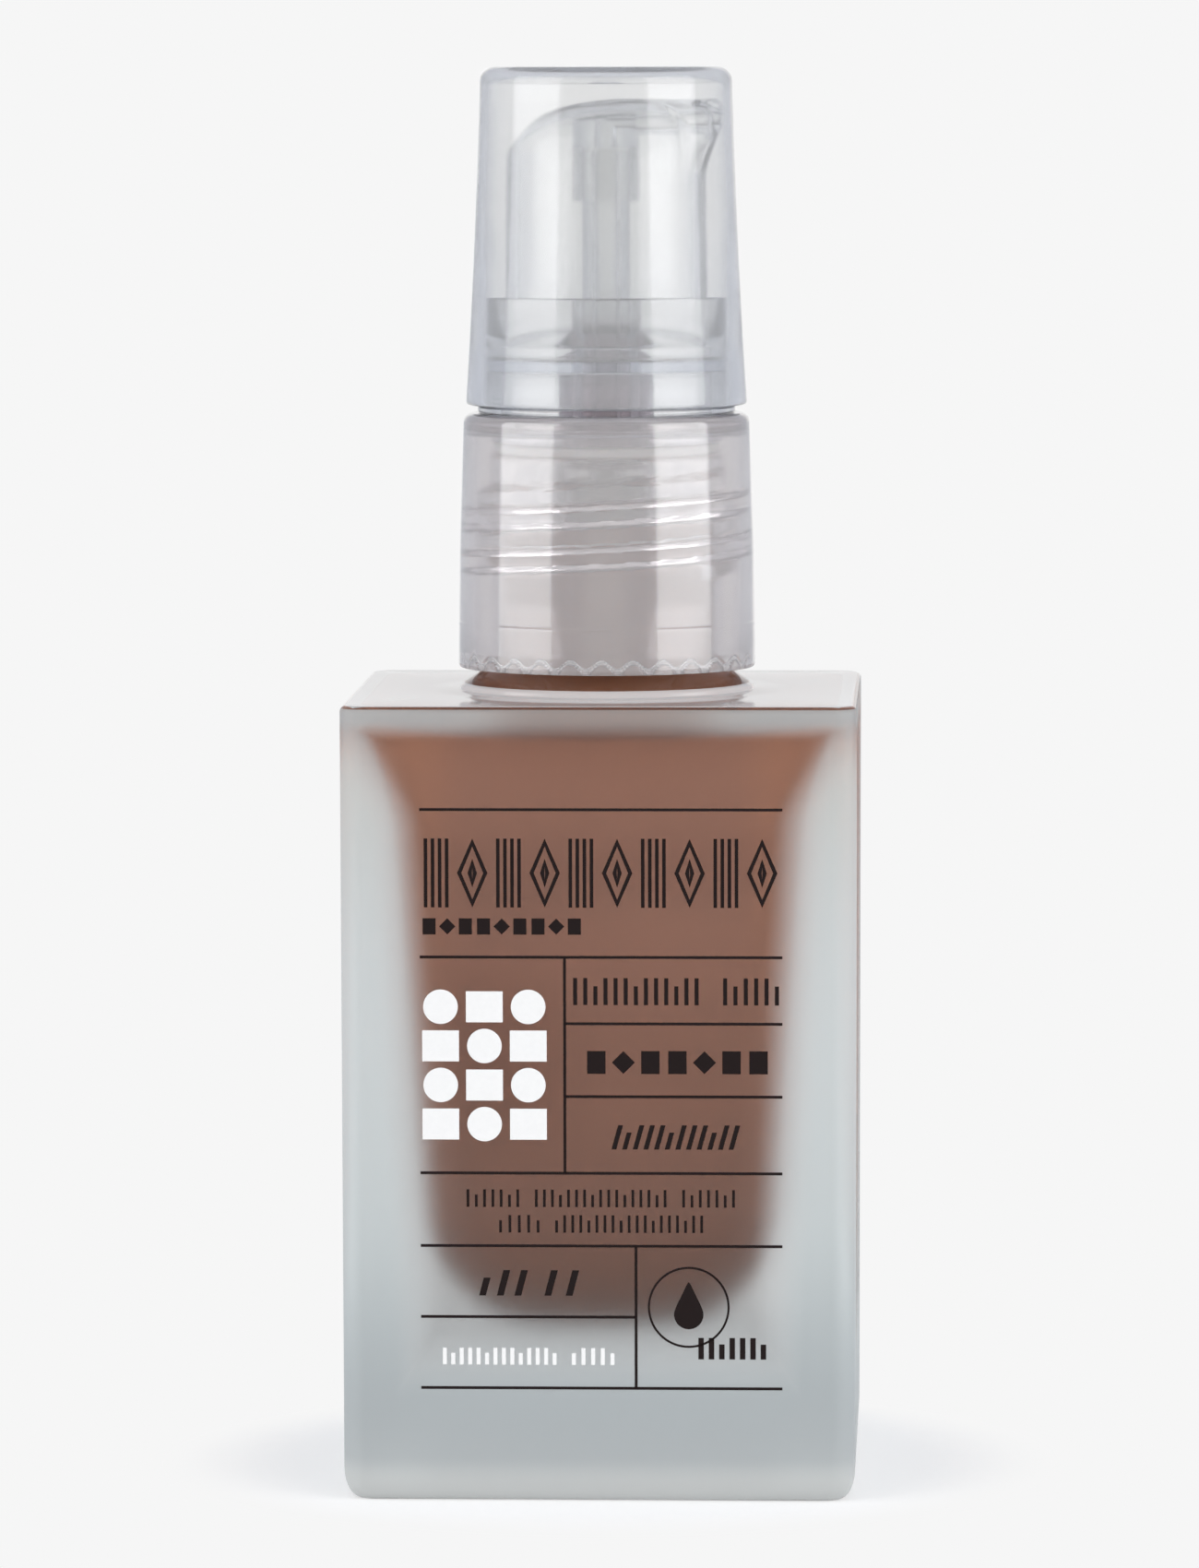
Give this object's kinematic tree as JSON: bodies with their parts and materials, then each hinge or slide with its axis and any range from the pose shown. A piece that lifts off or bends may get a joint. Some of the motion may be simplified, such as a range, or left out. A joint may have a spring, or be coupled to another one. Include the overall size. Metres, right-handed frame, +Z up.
{
  "type": "foundation pump bottle",
  "caption": "Square thick-walled frosted glass bottle of liquid foundation with a screw-on treatment pump and a clear pull-off overcap.",
  "frame": {"origin": "centre of the base, on the plane the bottle stands on", "axes": "+Z up along the bottle and the pump, -Y out of the printed front face, +X the way the nozzle points at rest"},
  "size_m": [0.038, 0.038, 0.1058],
  "materials": {
    "frosted_glass": "frosted sides and front, clear shoulder and neck",
    "liquid_foundation": "smooth opaque cream",
    "natural_plastic": "natural translucent polypropylene",
    "clear_plastic": "clear, high gloss",
    "seal_plastic": "soft satin white",
    "spring_steel": "bright drawn wire"
  },
  "bodies": {
    "bottle": {"glass_bottle": "frosted_glass", "foundation_filling": "liquid_foundation"},
    "pump_core": {"neck_gasket": "seal_plastic", "pump_chamber": "natural_plastic", "dip_tube": "natural_plastic", "chaplet": "natural_plastic", "return_spring": "spring_steel"},
    "closure": {"screw_closure": "natural_plastic"},
    "cap": {"overcap": "clear_plastic"},
    "plunger": {"pump_stem": "natural_plastic", "valve_plug": "seal_plastic"},
    "piston": {"piston_seal": "seal_plastic"},
    "head": {"pump_head": "natural_plastic"},
    "ball": {"inlet_ball": "spring_steel"}
  },
  "joints": [
    {"name": "pump_rise", "type": "slide", "parent": "bottle", "child": "pump_core", "axis": [0, 0, 1], "range_m": [0, 0.008]},
    {"name": "closure_turn", "type": "hinge", "parent": "pump_core", "child": "closure", "pos_m": [0, 0, 0.07], "axis": [0, 0, 1], "range_deg": [0, 900]},
    {"name": "cap_lift", "type": "slide", "parent": "pump_core", "child": "cap", "axis": [0, 0, 1], "range_m": [0, 0.03]},
    {"name": "pump_press", "type": "slide", "parent": "pump_core", "child": "plunger", "axis": [0, 0, -1], "range_m": [0, 0.004], "stiffness_N_per_m": 300, "springref_m": -0.004, "deforming": ["return_spring"]},
    {"name": "head_swivel", "type": "hinge", "parent": "plunger", "child": "head", "pos_m": [0, 0, 0.095], "axis": [0, 0, 1], "continuous": true},
    {"name": "seal_slip", "type": "slide", "parent": "plunger", "child": "piston", "axis": [0, 0, 1], "range_m": [0, 0.0007]},
    {"name": "ball_lift", "type": "slide", "parent": "pump_core", "child": "ball", "axis": [0, 0, 1], "range_m": [0, 0.0015]}
  ],
  "couplings": [
    {"joint": "pump_rise", "follows": "closure_turn", "m_per_rad": 0.00050532}
  ]
}
